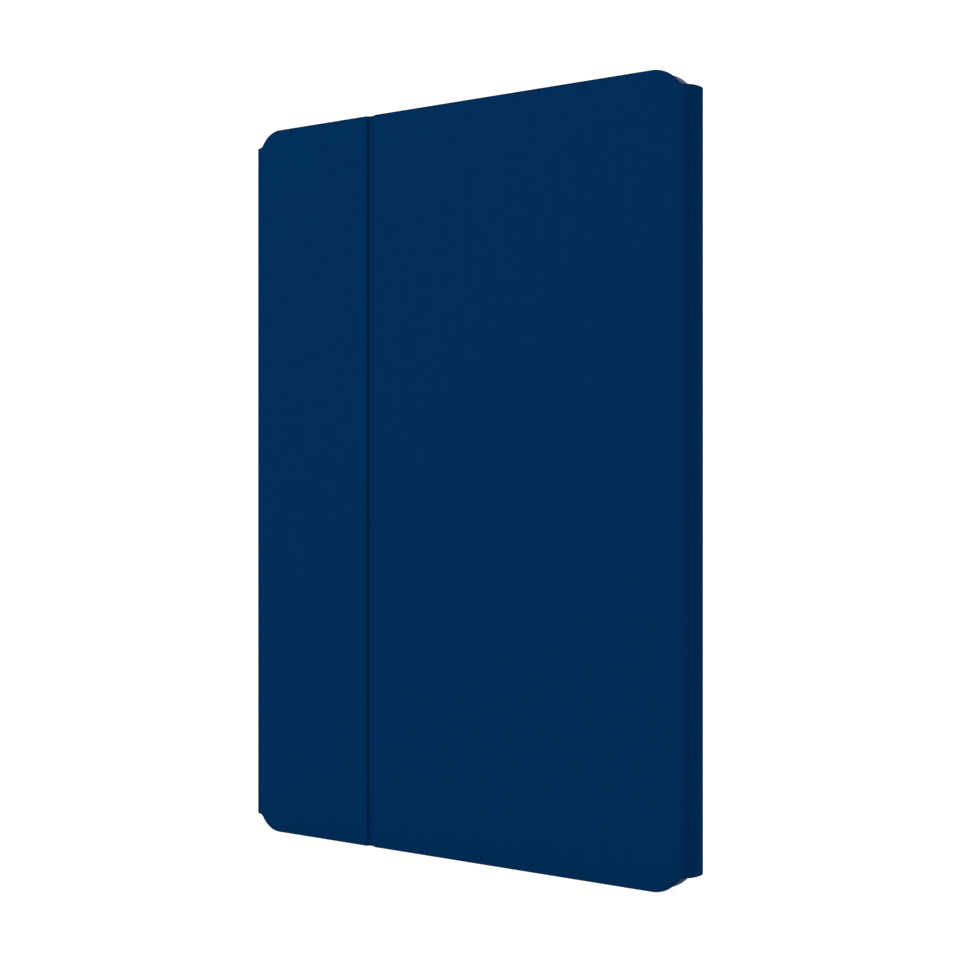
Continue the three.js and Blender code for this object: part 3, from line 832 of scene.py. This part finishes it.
def arrow_mesh(direction):
    """A small solid triangle in the legend plane."""
    turn = {"right": 0, "up": 90, "left": 180, "down": 270}[direction]
    corners = [(math.cos(math.radians(turn + a)), math.sin(math.radians(turn + a))) for a in (0, 120, 240)]
    depth, size = 0.03 * MM, 1.1 * MM
    points = [(x * size, y * size, z) for z in (-depth, depth) for x, y in corners]
    mesh = bpy.data.meshes.new("arrow")
    mesh.from_pydata(points, [], [(2, 1, 0), (3, 4, 5), (0, 1, 4, 3), (1, 2, 5, 4), (2, 0, 3, 5)])
    return mesh


def build_keys(name, node_name, caps, cap_material, ink):
    """One mesh of caps with their legends, which rides on its key body."""
    low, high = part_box(node_name)
    made = bmesh.new()
    for (x0, x1, z0, z1), text in caps:
        rings = cap_rings(x0, x1, z0, z1, low.y, high.y)
        verts = [[made.verts.new(point) for point in ring] for ring in rings]
        count = len(rings[0])
        for one, two in zip(verts, verts[1:]):
            for i in range(count):
                made.faces.new((one[i], one[(i + 1) % count], two[(i + 1) % count], two[i]))
        made.faces.new(verts[0])
        made.faces.new(verts[-1])
    bmesh.ops.recalc_face_normals(made, faces=made.faces)
    mesh = bpy.data.meshes.new(name)
    made.to_mesh(mesh)
    made.free()
    smooth(mesh)
    piece = link(name, mesh)
    mesh.materials.append(cap_material)
    mesh.materials.append(ink)
    legends = bmesh.new()
    for (x0, x1, z0, z1), text in caps:
        if not text:
            continue
        size = (2.5 if len(text) > 1 else 4.4) * MM * (0.8 if x1 - x0 < 9 * MM else 1)
        drawn = arrow_mesh(text) if text in ("left", "right", "up", "down") else legend_mesh(text, size)
        centre = Vector(((x0 + x1) / 2, high.y - 0.09 * MM, (z0 + z1) / 2))
        axes = Matrix((Vector((0, 0, -1)), Vector((-1, 0, 0)), Vector((0, 1, 0)))).transposed()
        drawn.transform(Matrix.Translation(centre) @ axes.to_4x4())
        legends.from_mesh(drawn)
        bpy.data.meshes.remove(drawn)
    for face in legends.faces:
        face.material_index = 1
    base = bmesh.new()
    base.from_mesh(mesh)
    ink_mesh = bpy.data.meshes.new("ink")
    legends.to_mesh(ink_mesh)
    base.from_mesh(ink_mesh)
    base.to_mesh(mesh)
    legends.free()
    base.free()
    bpy.data.meshes.remove(ink_mesh)
    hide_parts(node_name)
    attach(piece, node_name)


def make_keyboard(plastic, caps_material, ink):
    all_caps = []
    for row, legends in ROWS.items():
        boxes = key_boxes(row, len(legends))
        all_caps += boxes
        build_keys(f"caps_{row}_row", f"keys_{row}_row", list(zip(boxes, legends)), caps_material, ink)
    for key, legend in SINGLE_KEYS.items():
        low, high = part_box(f"key_{key}")
        area = (low.x, high.x, low.z, high.z)
        all_caps.append(area)
        build_keys(f"cap_{key}", f"key_{key}", [(area, legend)], caps_material, ink)
    deck = pillow_plate(
        "deck_plate",
        lambda inset: rounded_loop(deck_low.x + inset, deck_high.x - inset, deck_low.z + inset,
                                   deck_high.z - inset, KEYBOARD_RADIUS - inset, 12),
        deck_low.y, deck_high.y, 0.15 * MM)
    gap = WINDOW_GAP
    cutters = [prism(rounded_loop(x0 - gap, x1 + gap, z0 - gap, z1 + gap, 1.9 * MM, 5), deck_low.y - 1 * MM,
                     deck_high.y + 1 * MM) for x0, x1, z0, z1 in all_caps]
    light_low, light_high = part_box("status_light")
    x, z, radius = (light_low.x + light_high.x) / 2, (light_low.z + light_high.z) / 2, 1.0 * MM
    cutters.append(prism([(x + radius * math.cos(a), z + radius * math.sin(a))
                          for a in np.linspace(0, 2 * math.pi, 32, endpoint=False)],
                         deck_low.y - 1 * MM, deck_high.y + 1 * MM))
    cut_with(deck, [joined(cutters)])
    smooth(deck.data)
    finish_piece(deck, plastic, "keyboard_panel", ["keyboard_deck"])
    base = pillow_plate(
        "keyboard_case",
        lambda inset: rounded_loop(base_low.x + inset, base_high.x - inset, base_low.z + inset,
                                   base_high.z - inset, KEYBOARD_RADIUS - inset, 12),
        base_low.y, base_high.y, 0.2 * MM)
    wall = 1 * MM
    cut_with(base, [prism(rounded_loop(base_low.x + wall, base_high.x - wall, base_low.z + wall,
                                       base_high.z - wall, KEYBOARD_RADIUS - wall, 12),
                          base_low.y + 0.35 * MM, base_high.y + 1 * MM)])
    smooth(base.data)
    finish_piece(base, plastic, "keyboard_panel", ["keyboard_base"])


def joined(parts):
    """One object from several separate closed meshes."""
    made = bmesh.new()
    for part in parts:
        made.from_mesh(part.data)
        bpy.data.objects.remove(part)
    mesh = bpy.data.meshes.new("cutters")
    made.to_mesh(mesh)
    made.free()
    return link("cutters", mesh)


# ---------------------------------------------------------------- materials of plastics, metals and boards
def object_coordinates(tree):
    """Object coordinates in millimetres."""
    source = node(tree, "ShaderNodeTexCoord")
    scaled = node(tree, "ShaderNodeVectorMath", operation="SCALE")
    scaled.inputs["Scale"].default_value = 1 / MM
    tree.links.new(source.outputs["Object"], scaled.inputs[0])
    return scaled.outputs[0]


def grained(name, colour, roughness, grain, depth, metallic=0.0, spread=0.08, stretch=None, specular=0.5,
            sheen=0.0):
    """A material with fine grain: its colour and roughness vary a little, and a bump of the same noise."""
    material, shader, tree = new_material(name)
    place = object_coordinates(tree)
    fine = noise(tree, place, grain, 3.0, stretch)
    broad = noise(tree, place, 0.06, 3.0)
    dark = tuple((1 - spread) * c for c in colour[:3]) + (1,)
    light = tuple(min(1, (1 + spread) * c) for c in colour[:3]) + (1,)
    tint = ramp_between(tree, fine, 0.3, 0.7, dark, light)
    shade = ramp_between(tree, broad, 0.3, 0.7, (0.96, 0.96, 0.96, 1), (1, 1, 1, 1))
    tree.links.new(multiply(tree, tint, shade), shader.inputs["Base Color"])
    low, high = roughness * 0.92, min(1.0, roughness * 1.1)
    rough = ramp_between(tree, fine, 0.3, 0.7, (low, low, low, 1), (high, high, high, 1))
    tree.links.new(rough, shader.inputs["Roughness"])
    shader.inputs["Metallic"].default_value = metallic
    shader.inputs["Specular IOR Level"].default_value = specular
    shader.inputs["Sheen Weight"].default_value = sheen
    shader.inputs["Sheen Roughness"].default_value = 0.3
    shader.inputs["Sheen Tint"].default_value = (0.12, 0.45, 1.0, 1)
    bump(tree, shader, fine, 0.3, depth)
    return material


def lining_material():
    """Brushed microfibre: short dense pile with soft cloudy shading."""
    material, shader, tree = new_material("grey_microfibre")
    place = flat_coordinates(tree)
    pile = noise(tree, place, 3.2, 4.0)
    clouds = noise(tree, place, 0.05, 4.0)
    tint = ramp_between(tree, pile, 0.3, 0.7, srgb(44, 50, 60), srgb(60, 67, 79))
    shade = ramp_between(tree, clouds, 0.35, 0.65, (0.86, 0.86, 0.87, 1), (1, 1, 1, 1))
    tree.links.new(multiply(tree, tint, shade), shader.inputs["Base Color"])
    shader.inputs["Roughness"].default_value = 0.95
    shader.inputs["Specular IOR Level"].default_value = 0.15
    shader.inputs["Sheen Weight"].default_value = 0.35
    shader.inputs["Sheen Roughness"].default_value = 0.5
    bump(tree, shader, pile, 0.5, 0.00012)
    return material


def finish_frame_nodes():
    """Every CAD node that is still shown gets its own procedural material."""
    board = grained("grey_board", srgb(52, 56, 62), 0.9, 1.6, 0.00006, spread=0.14, specular=0.2)
    steel = grained("brushed_steel", srgb(176, 180, 186), 0.32, 2.4, 0.00002, 1.0, 0.06, (1.0, 1.0, 0.05))
    nickel = grained("nickel_plate", srgb(190, 188, 182), 0.22, 0.6, 0.00001, 1.0, 0.04)
    gold = grained("gold_plate", srgb(206, 164, 84), 0.25, 1.4, 0.00001, 1.0, 0.05)
    circuit = grained("green_circuit", srgb(26, 86, 58), 0.45, 0.9, 0.00002, spread=0.12)
    rubber = grained("silicone_sheet", srgb(150, 156, 164), 0.75, 1.2, 0.00003, spread=0.05, specular=0.3)
    socket = grained("socket_plastic", srgb(22, 34, 52), 0.55, 2.0, 0.00003)
    lamp = grained("frosted_lens", srgb(220, 230, 236), 0.3, 2.0, 0.00002, spread=0.03)
    by_start = (
        ("back_board", board), ("stand_hinge", steel), ("wake_magnet", nickel),
        ("closure_magnet", nickel), ("contact_pin", gold), ("flex_cable", gold), ("membrane", circuit),
        ("controller_board", circuit), ("dome_sheet", rubber), ("contact_block", socket),
        ("status_light", lamp),
    )
    for name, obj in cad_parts.items():
        for start, material in by_start:
            if name.startswith(start):
                obj.data.materials.clear()
                obj.data.materials.append(material)


# ---------------------------------------------------------------- build
make_camera()
make_stage()
make_light()
cloth = cloth_material("navy_cloth", CLOTH_COLOUR, 0.42, 0.00004)
lining = lining_material()
make_cloth(cloth)
make_linings(lining)
make_back(cloth, lining)
make_tray(grained("navy_gloss_plastic", srgb(4, 37, 70), 0.45, 1.1, 0.000004, spread=0.04, specular=0.02,
                  sheen=0.05))
deck_plastic = grained("matt_navy_plastic", srgb(18, 36, 60), 0.5, 3.0, 0.00003, spread=0.06, specular=0.3)
make_keyboard(
    deck_plastic,
    grained("keycap_plastic", srgb(17, 28, 44), 0.46, 3.6, 0.00002, spread=0.07, specular=0.3),
    grained("legend_ink", srgb(206, 214, 222), 0.55, 2.0, 0.00001, spread=0.03),
)
finish_frame_nodes()
